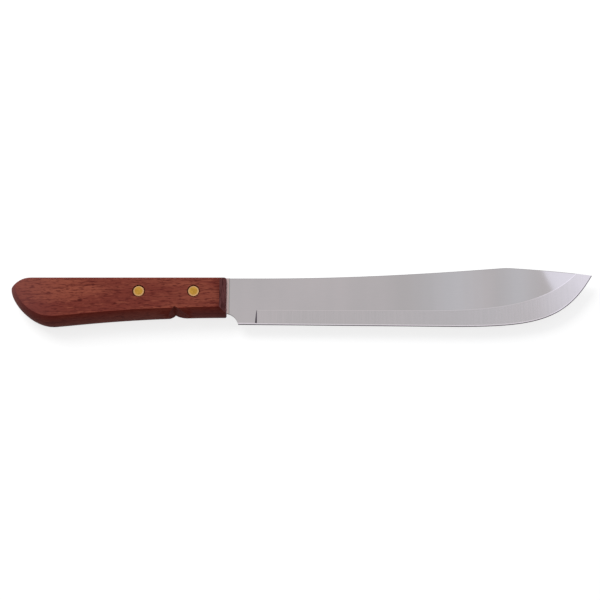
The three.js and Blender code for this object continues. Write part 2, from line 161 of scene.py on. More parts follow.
class KnifeBladeSettings(bpy.types.PropertyGroup):
    """Sizes and colours of the steel blade"""

    thickness: length("Thickness", "Thickness of the polished flats", 1.5)
    neck_strip: length("Neck strip", "Strip of rolled steel left at the handle", 1.2)
    run_out: length("Run-out", "Length of the slope from the rolled strip to the flats", 0.6)
    shoulder: length("Shoulder", "Gap between the blade's shoulder and the handle", 0.3)
    neck_depth: length("Neck depth", "Depth of the neck below the spine", 20.6)
    heel: length("Heel place", "Distance of the heel in front of the handle", 6.7)
    heel_depth: length("Heel depth", "Depth of the heel below the spine", 27.2)
    choil: length("Choil", "Hollow of the curve from the neck to the heel", 1.4)
    belly_start: length("Belly start", "End of the straight edge", 128)
    belly_depth: length("Belly depth", "Greatest depth of the edge below the spine", 28.4)
    belly_ease: length("Belly ease", "Fullness of the edge where it leaves the straight", 43.6)
    tip_ease: length("Tip ease", "Fullness of the edge where it reaches the tip", 31)
    tip_angle: angle("Tip angle", "Rise of the edge at the tip", 59)
    tip_height: length("Tip height", "Height of the tip above the straight spine", 1.8)
    rise_start: length("Rise start", "End of the straight spine", 20)
    rise_ease: length("Rise ease", "Fullness of the spine where it starts to rise", 50)
    peak: length("Peak place", "Distance of the peak in front of the handle", 157)
    peak_height: length("Peak height", "Height of the peak above the straight spine", 6.4)
    peak_round: length("Peak rounding", "Reach of the rounding on each side of the peak", 4)
    peak_ease: length("Peak ease", "Fullness of the spine where it reaches the peak", 40)
    peak_slope: number("Peak slope", "Rise of the spine at the peak", 0.08)
    clip_bulge: length("Clip bulge", "Rounding of the clip between the peak and the tip", 0.7)
    grind_depth: length("Grind depth", "Depth of the grind line below the spine", 18.7)
    grind_curve: length("Grind curve", "End of the straight grind line", 110)
    grind_low: length("Grind low", "Depth of the grind line where it starts to curve", 19)
    grind_ease: length("Grind ease", "Fullness of the grind line where it starts to curve", 36)
    grind_tip_ease: length("Grind tip ease", "Fullness of the grind line at the clip", 27)
    grind_tip_angle: angle("Grind tip angle", "Rise of the grind line at the clip", 45.7)
    grind_tip_run: length("Grind tip run", "Distance of the grind line's end behind the tip", 9)
    # Painted highlight: the bright line along the top of the grind
    brow_start: length("Brow start", "Start of the bright line at the top of the grind", 164)
    brow_fade: length("Brow fade", "Length over which the bright line fades in", 16)
    grind_edge: length("Ground edge", "Thickness of the ground steel at the edge", 0.36)
    plunge: length("Plunge place", "Distance of the plunge in front of the handle", 15.8)
    plunge_lean: length("Plunge lean", "Lean of the plunge towards the tip", 1.2)
    plunge_ramp: length("Plunge ramp", "Length of the ramp down to the ground steel", 1.2)
    edge_bevel: length("Edge bevel", "Width of the bevel that carries the edge", 0.95)
    edge: length("Edge", "Thickness of the edge itself", 0.08)
    softening: length("Softening", "Rounding of the spine's edges", 0.3)
    tang_height: length("Tang height", "Height of the tang", 18.5)
    tang_corner: length("Tang corner", "Radius of the tang's lower corner", 6)
    steel: colour("Steel", "Colour of the polished steel", 182, 176, 178)
    cool: colour("Cool steel", "Colour of the steel's darker clouds", 164, 162, 163)
    # Painted highlight: the bright edge bevel stands in for the lamp's reflection along the edge
    bright: colour("Bright edge", "Colour of the freshly ground edge bevel", 216, 209, 216)
    # Painted shadow: the dark strip at the foot of the edge bevel stands in for the shadow under the edge;
    # the plunge's darkness is painted too
    dark: colour("Dark edge", "Colour of the burr at the edge and of the plunge", 72, 65, 71)
    # Painted shade: the dark spine stands in for the dark line along the spine's edge
    spine: colour("Spine", "Colour of the stamped steel along the spine", 128, 121, 125)
    slope: colour("Slope", "Colour of the slope beside the rolled strip", 150, 146, 142)
    rolled: colour("Rolled steel", "Colour of the strip at the handle", 190, 168, 166)


class KnifeRivetSettings(bpy.types.PropertyGroup):
    """Sizes and colours of the brass rivets"""

    head_thickness: length("Head thickness", "Thickness of a rivet's head", 1.3)
    rim: length("Rim", "Rounding of the head's rim", 0.6)
    ring: length("Ring", "Width of the bright ring round the head", 0.9)
    tube: length("Tube", "Diameter of the tubular shank", 4.4)
    shank: length("Shank", "Diameter of the solid shank", 2.9)
    lead_in: length("Lead-in", "Chamfer at the end of the solid shank", 0.4)
    fit: length("Fit", "Clearance round a shank", 0.15)
    head_gap: length("Head gap", "Gap between a head and the wood round it", 0.36)
    seat_gap: length("Seat gap", "Gap under a head", 0.1)
    bore_floor: length("Bore floor", "Height of the shank's end over the far head's seat", 1)
    tube_reach: length("Tube reach", "Reach of the tube past the tang", 2.2)
    brass: colour("Brass", "Colour of the head's worn middle", 196, 149, 64)
    # Painted highlight: the pale rim stands in for the reflection round the rounded rim
    bright: colour("Bright brass", "Colour of the bright rim", 204, 160, 110)


class KnifeStageSettings(bpy.types.PropertyGroup):
    """Camera, floor and light"""

    elevation: angle("Elevation", "Camera's height over the table", 70)
    distance: length("Distance", "Distance from the camera to the knife", 1000)
    lens: number("Lens", "Focal length", 107.9, "DISTANCE_CAMERA")
    aim: FloatVectorProperty(name="Aim", description="Middle of the picture, from the datum", size=3,
                             subtype="TRANSLATION", unit="LENGTH", default=(0.04087, -0.01257, 0))
    floor: colour("Floor", "Colour of the floor", 156, 156, 156)
    floor_glow: fraction("Floor glow", "White added where the floor is seen", 0.76)
    world: number("World", "Strength of the even light", 0.4)
    key: number("Key", "Power of the main lamp", 16.5, "POWER")
    panel: number("Panel", "Power of the panel at the tip", 1.35, "POWER")
    cool: colour("Cool light", "Colour of the panel at the tip", 228, 234, 255)
    panel_turn: angle("Panel turn", "Turn of the panel at the tip", 24)
    band: number("Band", "Brightness of the faint bands in the flats", 0.11)
    band_light: colour("Band light", "Colour of the faint bands in the flats", 162, 226, 255)


# Mesh helpers

# How often a search halves its range
HALVINGS = 40


def share(start, end, portion):
    """The number a portion of the way between two others."""
    return start + (end - start) * portion


def steps(count):
    """Portions from 0 to 1 in equal steps."""
    return [step / count for step in range(count + 1)]


def cubic(start, leave, arrive, end, count):
    """Points along a cubic curve, without the first."""
    return interpolate_bezier(start, leave, arrive, end, count + 1)[1:]


def quadratic(start, middle, end, portion):
    """The point a portion of the way along a quadratic curve."""
    return start.lerp(middle, portion).lerp(middle.lerp(end, portion), portion)


def arc(centre, radius, first, last, count):
    """Points along an arc, between two angles in degrees."""
    turns = [math.radians(share(first, last, portion)) for portion in steps(count)]
    return [centre + radius * Vector((math.cos(turn), math.sin(turn))) for turn in turns]


def halve(test):
    """The portion up to which a test holds, found by halving."""
    low, high = 0.0, 1.0
    for _ in range(HALVINGS):
        middle = (low + high) / 2
        low, high = (middle, high) if test(middle) else (low, middle)
    return low


def chain(bm, points, closed=False):
    """Edges through points, and back to the first where the chain is closed."""
    verts = [bm.verts.new(point) for point in points]
    pairs = list(zip(verts, verts[1:]))
    if closed:
        pairs.append((verts[-1], verts[0]))
    return [bm.edges.new(pair) for pair in pairs]


def raised(points, height):
    """Points in plan, lifted to a height."""
    return [Vector((point.x, point.y, height)) for point in points]


def only(kind, geometry):
    """The vertices, edges or faces among mixed geometry."""
    return [part for part in geometry if isinstance(part, kind)]


def closed_up(bm):
    """Merges doubles and turns the faces outwards."""
    bmesh.ops.remove_doubles(bm, verts=bm.verts, dist=MERGE)
    bmesh.ops.dissolve_degenerate(bm, edges=bm.edges, dist=MERGE)
    bmesh.ops.recalc_face_normals(bm, faces=bm.faces)


def loose_object(bm, name):
    """A mesh as an object of the scene, at the origin."""
    mesh = bpy.data.meshes.new(name)
    bm.to_mesh(mesh)
    bm.free()
    made = bpy.data.objects.new(name, mesh)
    bpy.context.scene.collection.objects.link(made)
    return made


def cut(bm, cutter):
    """Takes one closed mesh off another."""
    body = loose_object(bm, "cut_body")
    tool = loose_object(cutter, "cut_tool")
    modifier = body.modifiers.new("Cut", "BOOLEAN")
    modifier.operation = "DIFFERENCE"
    modifier.solver = "EXACT"
    modifier.object = tool
    depsgraph = bpy.context.evaluated_depsgraph_get()
    result = bpy.data.meshes.new_from_object(body.evaluated_get(depsgraph))
    made = bmesh.new()
    made.from_mesh(result)
    for used in (body, tool):
        bpy.data.meshes.remove(used.data)
    bpy.data.meshes.remove(result)
    return made


def soften(bm, edges, width, segments):
    """Rounds edges."""
    bmesh.ops.bevel(bm, geom=edges, offset=width, offset_type="OFFSET", segments=segments, profile=0.5,
                    affect="EDGES", material=-1, clamp_overlap=True)


def smooth_shaded(bm, crease, by_finish=False):
    """Shades faces smooth, with edges sharp past an angle in degrees, or between finishes too."""
    for face in bm.faces:
        face.smooth = True
    for edge in bm.edges:
        finishes = {face.material_index for face in edge.link_faces}
        edge.smooth = edge.calc_face_angle(0) < math.radians(crease)
        if by_finish and len(finishes) > 1:
            edge.smooth = False


def add_piece(bm, name, materials, node):
    """Puts a mesh modelled round the datum in its place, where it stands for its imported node."""
    bmesh.ops.translate(bm, verts=bm.verts, vec=DATUM)
    piece = loose_object(bm, name)
    for material in materials:
        piece.data.materials.append(material)
    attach(piece, BODY)
    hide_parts(node)
    even = piece.modifiers.new("Even shading", "WEIGHTED_NORMAL")
    even.keep_sharp = True


# Shader helpers

def add(tree, kind, inputs=None, **settings):
    """A shader node with its settings, and with inputs that are numbers or come from sockets."""
    made = tree.nodes.new(f"ShaderNode{kind}")
    for name, value in settings.items():
        setattr(made, name, value)
    for name, value in (inputs or {}).items():
        socket = made.inputs[name]
        if isinstance(value, bpy.types.NodeSocket):
            tree.links.new(value, socket)
        else:
            socket.default_value = value
    return made


def calc(tree, operation, *values):
    """The result of an operation on numbers."""
    return add(tree, "Math", dict(enumerate(values)), operation=operation).outputs[0]


def vector_calc(tree, operation, *values):
    """The result of an operation on vectors."""
    return add(tree, "VectorMath", dict(enumerate(values)), operation=operation).outputs[0]


def mixed(tree, factor, first, second):
    """Two colours mixed by a factor."""
    return add(tree, "Mix", {0: factor, 6: first, 7: second}, data_type="RGBA").outputs[2]


def noise(tree, vector, scale, detail=2.0, roughness=0.5):
    """Noise on coordinates that are first scaled each way."""
    scaled = vector_calc(tree, "MULTIPLY", vector, scale)
    made = add(tree, "TexNoise", {"Vector": scaled, "Scale": 1.0,
                                            "Detail": detail, "Roughness": roughness})
    return made.outputs["Fac"]


def ranged(tree, value, low, high, first=0.0, last=1.0):
    """A value stretched from one range to another, eased at both ends."""
    made = add(tree, "MapRange", {0: value, 1: low, 2: high, 3: first, 4: last},
               interpolation_type="SMOOTHSTEP")
    return made.outputs[0]


def look_group(name, vectors, colours, values):
    """A node group that puts out a look, still empty, with its inner ends."""
    group = bpy.data.node_groups.new(name, "ShaderNodeTree")
    for kind, labels in (("Vector", vectors), ("Color", colours), ("Float", values)):
        for label in labels:
            group.interface.new_socket(label, in_out="INPUT", socket_type=f"NodeSocket{kind}")
    for label, kind in (("Color", "Color"), ("Roughness", "Float"), ("Height", "Float")):
        group.interface.new_socket(label, in_out="OUTPUT", socket_type=f"NodeSocket{kind}")
    return group, group.nodes.new("NodeGroupInput").outputs, group.nodes.new("NodeGroupOutput").inputs


def solid_colour(value):
    """A colour property's value with the alpha that sockets take."""
    return (*value, 1.0)


def new_material(name):
    """A material with its shader, its node tree and the coordinates that it reads."""
    material = bpy.data.materials.new(name)
    material.use_nodes = True
    tree = material.node_tree
    where = tree.nodes.new("ShaderNodeTexCoord").outputs["Object"]
    return material, tree, tree.nodes["Principled BSDF"], where


def set_inputs(shader, **values):
    """Sets a shader's own sockets, named with underscores."""
    for name, value in values.items():
        shader.inputs[name.replace("_", " ")].default_value = value


def shaded(value, factor):
    """A colour made darker or lighter."""
    return tuple(min(1.0, part * factor) for part in value)


def toned(value, factor):
    """A metal's colour, and its shade, which is darker or lighter by a factor."""
    return {"Color": value, "Shade": shaded(value, factor)}


def finished(tree, shader, look, bump_strength, bump_depth):
    """Gives the shader the colour, roughness and height of a look."""
    bump = add(tree, "Bump", {"Height": look.outputs["Height"], "Strength": bump_strength,
                                        "Distance": bump_depth})
    tree.links.new(look.outputs["Color"], shader.inputs["Base Color"])
    tree.links.new(look.outputs["Roughness"], shader.inputs["Roughness"])
    tree.links.new(bump.outputs[0], shader.inputs["Normal"])


# Layers of the grain: colour, scale along and across it, detail, roughness, range of the noise and strength
GRAIN_LAYERS = (
    ("Light streak", (16, 110), 3, 0.5, (0.38, 0.62), 0.85),
    ("Dark streak", (36, 560), 4, 0.6, (0.5, 0.74), 0.8),
    ("Light streak", (150, 900), 2, 0.5, (0.54, 0.72), 0.6),
    ("Dark streak", (210, 1250), 2, 0.5, (0.53, 0.7), 0.85),
    ("Dark streak", (360, 1900), 2, 0.5, (0.54, 0.7), 0.75),
)
PORE_SCALE = (420, 4200, 4200)
PORE_RANGE = (0.62, 0.74)
PORE_STRENGTH = 0.6
PORE_BUMP, PORE_DEPTH = 0.25, 0.05 * MM
LACQUER_ROUGHNESS, PORE_ROUGHNESS = 0.42, 0.6
LACQUER_SHEEN = 0.01
# A small knot: its darkness, its dark core, and how far and how strongly the grain parts round it
KNOT_DARKNESS = 0.75
KNOT_CORE = (0.6 * MM, 2 * MM)
KNOT_REACH = 6 * MM
KNOT_PULL = 0.6
# Range of the noise in worn metal, and strength of its scratches
WEAR_RANGE = (0.3, 0.7)
SCRATCH_BUMP = 0.1
# Attributes of the handle's mesh that its wood reads: end grain with a painted sheen, and painted shade
# along the edges
ACROSS_AND_SHEEN = "across_grain_and_sheen"
EDGE_SHADE = "edge_painted_shade"


def grain_group():
    """Streaked hardwood: broad tones, light and dark streaks and open pores along X."""
    name = "Hardwood grain"
    if name in bpy.data.node_groups:
        return bpy.data.node_groups[name]
    group, source, result = look_group(
        name, ("Vector",), ("Wood", "Light streak", "Dark streak", "Pore", "Edge shade", "End grain"),
        ("Knot and shade", "Across and sheen", "Edge"))
    where = source["Vector"]
    base = source["Wood"]
    for layer, (along, across), detail, roughness, span, strength in GRAIN_LAYERS:
        pattern = noise(group, where, (along, across, across), detail, roughness)
        base = mixed(group, ranged(group, pattern, *span, 0, strength), base, source[layer])
    pore = ranged(group, noise(group, where, PORE_SCALE, 1), *PORE_RANGE, 0, PORE_STRENGTH)
    # Mixes in the painted shade along the edges, the pores, the knot with the painted shade behind the
    # front, and end grain with the painted sheen
    for amount, layer in ((source["Edge"], "Edge shade"), (pore, "Pore"), (source["Knot and shade"], "Pore"),
                          (source["Across and sheen"], "End grain")):
        base = mixed(group, amount, base, source[layer])
    group.links.new(base, result["Color"])
    rough = ranged(group, pore, 0, PORE_STRENGTH, LACQUER_ROUGHNESS, PORE_ROUGHNESS)
    group.links.new(rough, result["Roughness"])
    group.links.new(ranged(group, pore, 0, PORE_STRENGTH, 1, 0), result["Height"])
    return group


def metal_group():
    """Worn metal: cloudy tone, fine scratches and patchy polish."""
    name = "Worn metal"
    if name in bpy.data.node_groups:
        return bpy.data.node_groups[name]
    group, source, result = look_group(
        name, ("Vector", "Lines"), ("Color", "Shade"), ("Cloud", "Scratch", "Polish", "Dull"))
    cloud = ranged(group, noise(group, source["Vector"], (1, 1, 1), 3), *WEAR_RANGE)
    line = ranged(group, noise(group, source["Lines"], (1, 1, 1), 3, 0.7), *WEAR_RANGE)
    tone = source["Color"]
    for pattern, amount in ((cloud, "Cloud"), (line, "Scratch")):
        tone = mixed(group, calc(group, "MULTIPLY", pattern, source[amount]), tone, source["Shade"])
    group.links.new(tone, result["Color"])
    rough = add(group, "MapRange", {0: cloud, 3: source["Polish"], 4: source["Dull"]})
    group.links.new(rough.outputs[0], result["Roughness"])
    group.links.new(line, result["Height"])
    return group


def knotted(tree, where, knot):
    """Coordinates that part round a small knot, and the darkness of the knot."""
    offset = vector_calc(tree, "SUBTRACT", where, knot)
    oval = vector_calc(tree, "MULTIPLY", offset, (1, 2, 0))
    away = add(tree, "VectorMath", {0: oval}, operation="LENGTH").outputs["Value"]
    near = ranged(tree, away, 0, KNOT_REACH, -KNOT_PULL, 0)
    pull = vector_calc(tree, "MULTIPLY", offset, (0, 1, 0))
    parted = vector_calc(tree, "ADD", where, vector_calc(tree, "MULTIPLY", pull, near))
    return parted, ranged(tree, away, *KNOT_CORE, KNOT_DARKNESS, 0)


def wood_material(name, scale, shift, knot, colours, spans):
    """Lacquered hardwood, with its grain stretched each way, a small knot and tones that rise along X."""
    material, tree, shader, where = new_material(name)
    parted, dark = knotted(tree, where, knot)
    placing = {"Vector": parted, "Scale": scale, "Location": (0, shift, 0)}
    along = add(tree, "SeparateXYZ", {0: where}).outputs["X"]
    amounts = {"Knot and shade": dark}
    for label, attribute in (("Across and sheen", ACROSS_AND_SHEEN), ("Edge", EDGE_SHADE)):
        amounts[label] = add(tree, "Attribute", attribute_name=attribute).outputs["Fac"]
    for label, span in spans.items():
        amounts[label] = calc(tree, "MAXIMUM", amounts[label], ranged(tree, along, *span))
    inputs = {label: solid_colour(value) for label, value in colours.items()}
    inputs["Vector"] = add(tree, "Mapping", placing).outputs[0]
    grain = add(tree, "Group", inputs | amounts, node_tree=grain_group())
    finished(tree, shader, grain, PORE_BUMP, PORE_DEPTH)
    set_inputs(shader, Specular_IOR_Level=LACQUER_SHEEN)
    return material


def metal_material(name, colours, clouds, lines, depth, fade=None, **amounts):
    """Worn metal, with scales of its clouds and lines each way, that may fade in along X from its shade."""
    material, tree, shader, where = new_material(name)
    inputs = {label.capitalize(): value for label, value in amounts.items()}
    for label, value in colours.items():
        inputs[label] = solid_colour(value)
    if fade:
        along = add(tree, "SeparateXYZ", {0: where}).outputs["X"]
        inputs["Color"] = mixed(tree, ranged(tree, along, *fade), inputs["Shade"], inputs["Color"])
    for label, scale in (("Vector", clouds), ("Lines", lines)):
        inputs[label] = add(tree, "Mapping", {"Vector": where, "Scale": scale}).outputs[0]
    wear = add(tree, "Group", inputs, node_tree=metal_group())
    finished(tree, shader, wear, SCRATCH_BUMP, depth * MM)
    set_inputs(shader, Metallic=1.0)
    return material


# Handle

# How finely the handle's lines and roundings are drawn, and how many outlines cross it
CORNER_STEPS, FOOT_STEPS, KERF_STEPS, SANDING_STEPS = 5, 3, 10, 3
TOP_STEPS, BUTT_STEPS, LOBE_STEPS, BELLY_STEPS = 24, 14, 20, 28
WALL_STEPS, SLOPE_STEPS, TOE_STEPS = 6, 12, 8
ARCH_STEPS = 22
# Hollow of the notch's slope, and how near a corner the chamfer's cut snaps to it
SLOPE_HOLLOW = 0.68
SNAP = 0.02 * MM
# Angles in degrees past which an edge is sanded, and past which it still looks sharp
SANDED, CREASED = 33, 50
# How squarely a face looks forwards or sideways to count as the front or as a flat side
FRONT_FACING, SIDE_FACING = 0.55, 0.95
# How close to an edge the painted shade takes the notch's recess to be, and how the butt's wear falls off
# round it
WALL_SHADE, BUTT_FALL = 0.2, 1.5
# How the grain is stretched each way where it is cut across
END_STRETCH = (6, 0.12, 1)


def notched_underside(s, inset):
    """The underside from its lowest point to the front, with the finger notch, for one inset."""
    bottom = -s.front_height + inset
    low = Vector((-s.butt_low, -HANDLE_DEPTH + inset))
    leave = Vector((low.x + s.belly, low.y))
    arrive = Vector((-s.grip, bottom))
    end = Vector((-s.bottom_radius, bottom))

    def under(portion):
        first = quadratic(low, leave, arrive, portion)
        return first.lerp(quadratic(leave, arrive, end, portion), portion)

    apex = Vector((-s.notch, -s.front_height + s.notch_depth))
    plain = halve(lambda portion: under(portion).x < apex.x + s.notch_run)
    foot = Vector((apex.x + s.notch_run, under(plain).y - inset))
    bend = Vector((apex.x + s.notch_run / 2, share(apex.y, foot.y, SLOPE_HOLLOW)))

    def height_at(x):
        return under(halve(lambda portion: under(portion).x < x)).y

    rear = halve(lambda portion: under(portion).y > apex.y + under(portion).x - apex.x)
    meet = halve(lambda portion: quadratic(apex, bend, foot, portion).y
                 > height_at(quadratic(apex, bend, foot, portion).x))
    front = halve(lambda portion: under(portion).x < quadratic(apex, bend, foot, meet).x)
    points = [under(rear * portion) for portion in steps(BELLY_STEPS)]
    points += [points[-1].lerp(apex, portion) for portion in steps(WALL_STEPS)[1:]]
    points += [quadratic(apex, bend, foot, meet * portion) for portion in steps(SLOPE_STEPS)[1:-1]]
    points += [under(share(front, 1, portion)) for portion in steps(TOE_STEPS)]
    return points


def handle_outline(s, inset):
    """The side outline, drawn in by an inset that leaves the front end where it is."""
    top = -inset
    bottom = -s.front_height + inset
    butt = Vector((-HANDLE_LENGTH + inset, -s.butt_corner))
    corner = Vector((-HANDLE_LENGTH + s.butt_run + inset / 2, top))
    low = Vector((-s.butt_low, -HANDLE_DEPTH + inset))
    over = Vector((-s.top_radius, top - s.top_radius))
    under = Vector((-s.bottom_radius, bottom + s.bottom_radius))
    points = arc(over, s.top_radius, 0, 90, CORNER_STEPS)
    points += [points[-1].lerp(corner, portion) for portion in steps(TOP_STEPS)[1:]]
    points += cubic(corner, corner - Vector((s.butt_ease, 0)), butt + Vector((0, s.butt_turn)), butt,
                    BUTT_STEPS)
    points += cubic(butt, butt - Vector((0, s.butt_side)), low - Vector((s.lobe, 0)), low, LOBE_STEPS)
    points += notched_underside(s, inset)[1:]
    points += arc(under, s.bottom_radius, 270, 360, FOOT_STEPS)[1:]
    return points


def handle_blank(s):
    """The block with flat sides, an arched top, underside and butt, and chamfered front corners."""
    half = HANDLE_THICKNESS / 2
    arch = (half ** 2 + s.crown ** 2) / (2 * s.crown)
    reach = math.asin(half / arch)
    bm = bmesh.new()
    loops = []
    for portion in steps(ARCH_STEPS):
        turn = share(-reach, reach, portion)
        inset = arch * (1 - math.cos(turn))
        loops.append(chain(bm, raised(handle_outline(s, inset), arch * math.sin(turn)), closed=True))
    for one, other in zip(loops, loops[1:]):
        bmesh.ops.bridge_loops(bm, edges=one + other)
    for end in (loops[0], loops[-1]):
        bmesh.ops.contextual_create(bm, geom=end)
    closed_up(bm)
    for side in (-1, 1):
        corner = Vector((0, 0, side * (half - s.front_chamfer)))
        made = bmesh.ops.bisect_plane(
            bm, geom=[*bm.verts, *bm.edges, *bm.faces], plane_co=corner, plane_no=(1, 0, side),
            dist=SNAP, use_snap_center=True, clear_outer=True)
        bmesh.ops.contextual_create(bm, geom=only(BMEdge, made["geom_cut"]))
    closed_up(bm)
    return bm


def slot_cutter(s, blade):
    """The saw kerf for the tang, open along the top and at the front."""
    over = 3 * MM
    half = TANG_HALF + s.slot_gap
    rear = -TANG_REACH - s.slot_gap
    corner = Vector((rear + blade.tang_corner, -s.slot_depth + blade.tang_corner))
    outline = [Vector((over, over)), Vector((rear, over))]
    outline += arc(corner, blade.tang_corner, 180, 270, KERF_STEPS)
    outline.append(Vector((over, -s.slot_depth)))
    return plate(outline, half)


def plate(outline, half):
    """A flat outline made a plate, centred on the middle of the blade."""
    bm = bmesh.new()
    face = bmesh.ops.contextual_create(bm, geom=chain(bm, raised(outline, -half), closed=True))["faces"]
    made = bmesh.ops.extrude_face_region(bm, geom=face)["geom"]
    bmesh.ops.translate(bm, verts=only(BMVert, made), vec=(0, 0, 2 * half))
    closed_up(bm)
    return bm


def spun_body(profile, centre):
    """A closed body of a profile of radius and height, spun round an upright axis."""
    bm = bmesh.new()
    edges = chain(bm, [Vector((radius, 0, height)) for radius, height in profile])
    bmesh.ops.spin(bm, geom=[*bm.verts, *edges], axis=(0, 0, 1), cent=(0, 0, 0), angle=math.tau,
                   steps=ROUND_STEPS, use_merge=True)
    closed_up(bm)
    bmesh.ops.translate(bm, verts=bm.verts, vec=(*centre, 0))
    return bm


def rivet_hole(rivet, place):
    """The bore for a rivet, with a sink for a head at each end."""
    past = HANDLE_THICKNESS / 2 + 2 * MM
    seat = HEAD_TOP - rivet.head_thickness - rivet.seat_gap
    sink = HEAD_RADIUS + rivet.head_gap
    bore = rivet.tube / 2 + rivet.fit
    profile = [(0, -past), (sink, -past), (sink, -seat), (bore, -seat),
               (bore, seat), (sink, seat), (sink, past), (0, past)]
    return spun_body(profile, RIVET_AXES[place])


def finish_faces(bm, s, notch):
    """Sets the end grain at the front, painted shade along the edges of the sides and in the notch, a
    painted sheen on the underside, and the worn butt.
    """
    across = bm.loops.layers.float.new(ACROSS_AND_SHEEN)
    edge_shade = bm.loops.layers.float.new(EDGE_SHADE)
    for face in bm.faces:
        at_front = face.calc_center_median().x > -s.front_chamfer - s.softening
        front = at_front and face.normal.x > FRONT_FACING
        face.material_index = 1 if front else 0
        if front or abs(face.normal.z) > SIDE_FACING:
            continue
        for loop in face.loops:
            place = loop.vert.co
            outward = loop.vert.normal.xy.normalized()
            into = (HANDLE_THICKNESS / 2 - abs(place.z)) / s.edge_shade_width
            # The notch's recess takes painted shade as if it lay next to an edge
            if outward.y < 0 and notch[0] < place.x < notch[1]:
                into = min(into, WALL_SHADE)
            loop[edge_shade] = s.edge_shade_strength * max(0.0, 1 - into)
            # Painted sheen that greys the underside, beside the real end grain of the butt
            painted_sheen = s.underside_painted_sheen * max(0.0, -outward.y) * min(1.0, into / 2)
            butt = s.butt_wear * max(0.0, -outward.x) ** BUTT_FALL if place.x < -s.grip else 0.0
            loop[across] = max(painted_sheen, butt)


def handle_mesh(s, blade, rivet):
    """The whole handle, cut for the tang and the rivets, with the edges of its notch left crisp."""
    bm = handle_blank(s)
    notch = (-s.notch - 2 * s.notch_depth, -s.notch + s.notch_run)
    sharp = [edge for edge in bm.edges if edge.calc_face_angle(0) > math.radians(SANDED)
             and not all(notch[0] < vert.co.x < notch[1] for vert in edge.verts)]
    soften(bm, sharp, s.softening, SANDING_STEPS)
    bm = cut(bm, slot_cutter(s, blade))
    for place in RIVETS:
        bm = cut(bm, rivet_hole(rivet, place))
    closed_up(bm)
    bm.normal_update()
    finish_faces(bm, s, notch)
    smooth_shaded(bm, CREASED)
    return bm


class KNIFE_OT_handle(bpy.types.Operator):
    """Model and finish the slotted hardwood handle"""

    bl_idname = "knife.handle"
    bl_label = "Handle"

    def execute(self, context):
        s = context.scene.knife_handle
        knot = DATUM + Vector((-s.knot_place, -s.knot_depth, 0))
        grain = {"Wood": s.wood, "Light streak": s.light_streak, "Dark streak": s.dark_streak,
                 "Pore": s.pore, "Edge shade": s.edge_shade, "End grain": s.end_grain}
        ends = {"Wood": s.end_grain, "Light streak": shaded(s.end_grain, 1.25), "Dark streak": s.end_line,
                "Pore": shaded(s.end_line, 0.8), "Edge shade": s.end_line, "End grain": s.end_grain}
        chamfer = DATUM.x - s.front_chamfer
        # The first span paints shade before the front chamfer, carried on the knot's input
        spans = {"Knot and shade": (chamfer - s.front_shade, chamfer, 0, s.fade_strength),
                 "Across and sheen": (HANDLE_LOW.x + s.butt_fade, HANDLE_LOW.x, 0, s.fade_strength)}
        shift = s.grain_shift
        materials = [wood_material("lacquered_side_grain", (1, 1, 1), shift, knot, grain, spans),
                     wood_material("lacquered_end_grain", END_STRETCH, shift, knot, ends, {})]
        bm = handle_mesh(s, context.scene.knife_blade, context.scene.knife_rivet)
        add_piece(bm, "hardwood_handle", materials, "handle")
        return {"FINISHED"}


# Blade

# Kinds of face, in the order of the blade's materials
FLAT, GROUND, EDGE, BRINK_SHADOW, RAMP, ROLLED, SPINE, BROW_HIGHLIGHT, RUN_OUT = range(9)
# How finely each line is drawn, with the edge and the grind line in step
STRAIGHT_STEPS, CURVE_STEPS = 12, 60
RISE_STEPS, PEAK_STEPS, CLIP_STEPS, RIM_STEPS = 40, 8, 16, 2
CHOIL_STEPS, STRIP_STEPS, TANG_STEPS, HOLE_STEPS = 14, 4, 8, 32
# Portions of the way down the ground steel, the second of which ends the brow that carries a painted
# highlight
GROUND_ROWS = (0, 0.04, 0.1, 0.2, 0.35, 0.55, 0.78, 1)
# Share of the edge bevel above its dark strip, which is a painted shadow
HONED = 0.58
# Angles in degrees of the spine's square rims, and past which other edges look sharp
RIM_ANGLE, STEEL_CREASE = 60, 40
# How squarely a face looks up to count as the wall at a rim, and as spine
WALL_FACING, SPINE_FACING = 0.5, 0.3


def back_from(end, distance, turn):
    """The point a distance back from an end, along a direction."""
    return end - distance * Vector((math.cos(turn), math.sin(turn)))


